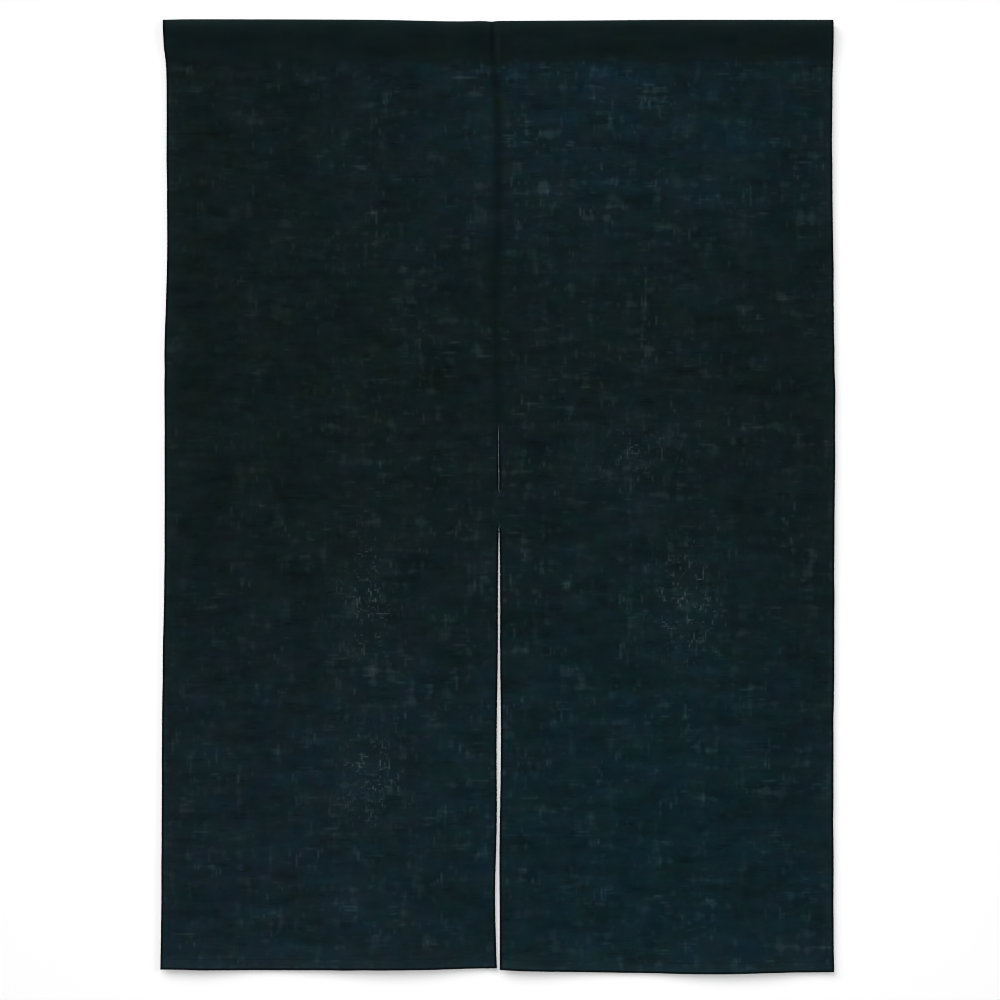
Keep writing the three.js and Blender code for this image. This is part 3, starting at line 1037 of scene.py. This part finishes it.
def dye_lightness(graph, place, dark, single):
    """How light the dye is: lines, mottling and clouds in single cloth, and streaks in all of it."""
    lightness = graph.math("MULTIPLY", dark, LIGHTNESS["dark_bars"])
    for name in ("lines", "mottle", "cloud"):
        noise = graph.noise(place, NOISE[name])
        lightness = graph.math("MULTIPLY_ADD", noise, LIGHTNESS[name], lightness)
    lightness = graph.math("MULTIPLY", lightness, single)
    streak = graph.noise(place, NOISE["streak"])
    lightness = graph.math("MULTIPLY_ADD", streak, LIGHTNESS["streak"], lightness)
    return graph.math("ADD", lightness, LIGHTNESS["base"])


def dye_light_and_shade_colour(graph, place, doubled):
    """The colour of the dye, with its slow drift (partly painted light), its small warm and cool spots, and
    painted shade where the cloth is doubled.
    """
    tone = graph.blend(graph.value("blue"), DYE_DARK, BLUE_DYE_AND_LIGHT)
    tone = graph.blend(graph.value("teal"), tone, TEAL_DYE_AND_LIGHT)
    tone = graph.blend(doubled, tone, DOUBLED_SHADE_TONE)
    warm = graph.blend(graph.zone(place, ZONES["warm"]), GREEN_TINT, RED_TINT)
    cool = graph.blend(graph.zone(place, ZONES["cool"]), OLIVE_TINT, VIOLET_TINT)
    return graph.tinted(graph.tinted(tone, warm), cool)


def linen(name):
    """Slubby plain-weave linen: slubs and open spots in single cloth, plainer and darker with painted shade
    where doubled.
    """
    graph = Graph(name)
    place = graph.place()
    # Painted shade where the cloth is doubled, which lets less light through from behind
    doubled = graph.value("doubled")
    single = graph.math("SUBTRACT", 1.0, graph.math("MULTIPLY", doubled, DOUBLED_PLAIN))
    pale, dark, thick = slubs(graph, place)
    pale = graph.math("MULTIPLY", pale, graph.value("slub"))
    pale = graph.math("MULTIPLY_ADD", graph.value("open"), SLUB_PARTS["open"], pale)
    pale = graph.math("MULTIPLY", pale, single)
    speck = graph.math("MULTIPLY", open_specks(graph, place), single)

    lightness = dye_lightness(graph, place, dark, single)
    lightness = graph.math("MULTIPLY_ADD", pale, LIGHTNESS["slubs"], lightness)
    tone = graph.scaled(dye_light_and_shade_colour(graph, place, doubled), lightness)
    # Pale slubs, then painted light: the wall behind seen through open specks, and light along the edges,
    # the top fold, the seam's ridge and the pocket's lip
    for colour, amount in ((SLUB_PALE, pale), (SPECK_PAINTED_LIGHT, speck), (PAINTED_GLOW, graph.value("glow"))):
        tone = graph.added(tone, graph.scaled(colour, amount))
    # Painted shade along folded edges, the seam and the pocket's groove and ends
    shade = graph.math("SUBTRACT", 1.0, graph.math("MULTIPLY", graph.value("rim"), RIM_PAINTED_SHADE))

    graph.dress({
        "Base Color": graph.scaled(tone, shade),
        "Normal": weave_bump(graph, place, thick),
        "Roughness": 0.9,
        "Specular IOR Level": 0.03,
        "Sheen Weight": 0.01,
        "Sheen Roughness": 0.6,
        "Sheen Tint": SHEEN_TINT,
    })
    return graph.material


def thread():
    """Dyed sewing thread, with the fine turns of its ply."""
    graph = Graph("sewing_thread")
    where = graph.node("ShaderNodeTexCoord").outputs["Object"]
    inputs = {"Vector": where, "Scale": PLY, "Detail": 1.0}
    ply = graph.node("ShaderNodeTexNoise", inputs).outputs["Fac"]
    graph.dress({
        "Base Color": graph.blend(ply, THREAD_DARK, THREAD_PALE),
        "Normal": graph.bump(ply, PLY_BUMP["strength"], PLY_BUMP["height"]),
        "Roughness": 0.85,
        "Specular IOR Level": 0.03,
    })
    return graph.material


# Wall, floor, light and camera


def stage_plane(name, corners, material):
    mesh = bpy.data.meshes.new(name)
    mesh.from_pydata(corners, [], [(0, 1, 2, 3)])
    mesh.materials.append(material)
    plane = bpy.data.objects.new(name, mesh)
    bpy.context.scene.collection.objects.link(plane)
    return plane


def wall_paint():
    """Matt white from the front, and nothing from behind, so that the back of the curtain can be seen."""
    graph = Graph("wall_paint")
    graph.dress({"Base Color": WALL_WHITE, "Roughness": 1.0, "Specular IOR Level": 0.0})
    behind = graph.node("ShaderNodeNewGeometry").outputs["Backfacing"]
    clear = graph.node("ShaderNodeBsdfTransparent").outputs["BSDF"]
    inputs = {0: behind, 1: graph.shader.outputs["BSDF"], 2: clear}
    mix = graph.node("ShaderNodeMixShader", inputs)
    graph.feed(graph.tree.nodes["Material Output"].inputs["Surface"], mix.outputs["Shader"])
    return graph.material


def floor_paint():
    """Matt and pale, with a glow of its own that lights nothing else."""
    graph = Graph("floor_paint")
    graph.dress({
        "Base Color": FLOOR_PALE,
        "Emission Color": (1, 1, 1, 1),
        "Emission Strength": FLOOR_GLOW,
        "Roughness": 0.8,
        "Specular IOR Level": 0.1,
    })
    graph.material.cycles.emission_sampling = "NONE"
    return graph.material


def build_stage():
    z = -FLOOR_BELOW
    f = FLOOR_REACH
    floor = stage_plane("floor", [(-f, -f, z), (f, -f, z), (f, f, z), (-f, f, z)], floor_paint())
    floor.visible_diffuse = False
    y = WALL_BEHIND
    w = WALL_REACH
    wall = stage_plane("wall", [(-w, y, z), (w, y, z), (w, y, w), (-w, y, w)], wall_paint())
    wall.visible_shadow = False


def area_light(row, target):
    light = bpy.data.lights.new(row["name"], "AREA")
    light.shape = "RECTANGLE"
    light.size, light.size_y = row["size"]
    light.energy = row["watts"]
    light.spread = math.radians(row["spread"])
    lamp = bpy.data.objects.new(row["name"], light)
    lamp.location = row["place"]
    lamp.visible_camera = False
    bpy.context.scene.collection.objects.link(lamp)
    track = lamp.constraints.new("TRACK_TO")
    track.target = target
    track.track_axis = "TRACK_NEGATIVE_Z"
    track.up_axis = "UP_Y"


def build_light():
    aim = bpy.data.objects.new("light_aim", None)
    aim.location = (0, 0, VIEW_CENTRE[1])
    bpy.context.scene.collection.objects.link(aim)
    for row in LIGHTS:
        area_light(row, aim)
    build_world()


def build_world():
    """White surroundings, which look brighter than the light that they give."""
    world = bpy.data.worlds.new("studio")
    world.use_nodes = True
    tree = world.node_tree
    background = tree.nodes["Background"]
    background.inputs["Color"].default_value = (1, 1, 1, 1)
    sight = tree.nodes.new("ShaderNodeLightPath")
    strength = tree.nodes.new("ShaderNodeMapRange")
    strength.inputs["To Min"].default_value = WORLD_LIGHT
    strength.inputs["To Max"].default_value = WORLD_SEEN
    tree.links.new(sight.outputs["Is Camera Ray"], strength.inputs["Value"])
    tree.links.new(strength.outputs["Result"], background.inputs["Strength"])
    bpy.context.scene.world = world
    bpy.context.scene.view_settings.view_transform = "Standard"


def build_camera():
    lens = bpy.data.cameras.new("camera")
    lens.sensor_width = CAMERA_SENSOR
    lens.lens = lens.sensor_width * CAMERA_AWAY / FRAME_WIDTH
    lens.clip_end = CAMERA_SIGHT
    camera = bpy.data.objects.new("camera", lens)
    camera.location = (VIEW_CENTRE[0], -CAMERA_AWAY, VIEW_CENTRE[1])
    camera.rotation_euler = (math.pi / 2, 0, 0)
    bpy.context.scene.collection.objects.link(camera)
    bpy.context.scene.camera = camera
    bpy.context.scene.cycles.filter_width = PIXEL_FILTER


# The curtain

panel_linen = linen("panel_linen")
pocket_linen = linen("pocket_linen")
sewing_thread = thread()

pocket = pocket_cloth(pocket_linen)
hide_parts("rod_pocket")
pocket_sewing = pocket_stitching(sewing_thread)

for panel in PANELS:
    cloth = panel_cloth(panel, panel_linen)
    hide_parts(panel["name"])
    sewing = panel_stitching(panel, sewing_thread)

build_stage()
build_light()
build_camera()
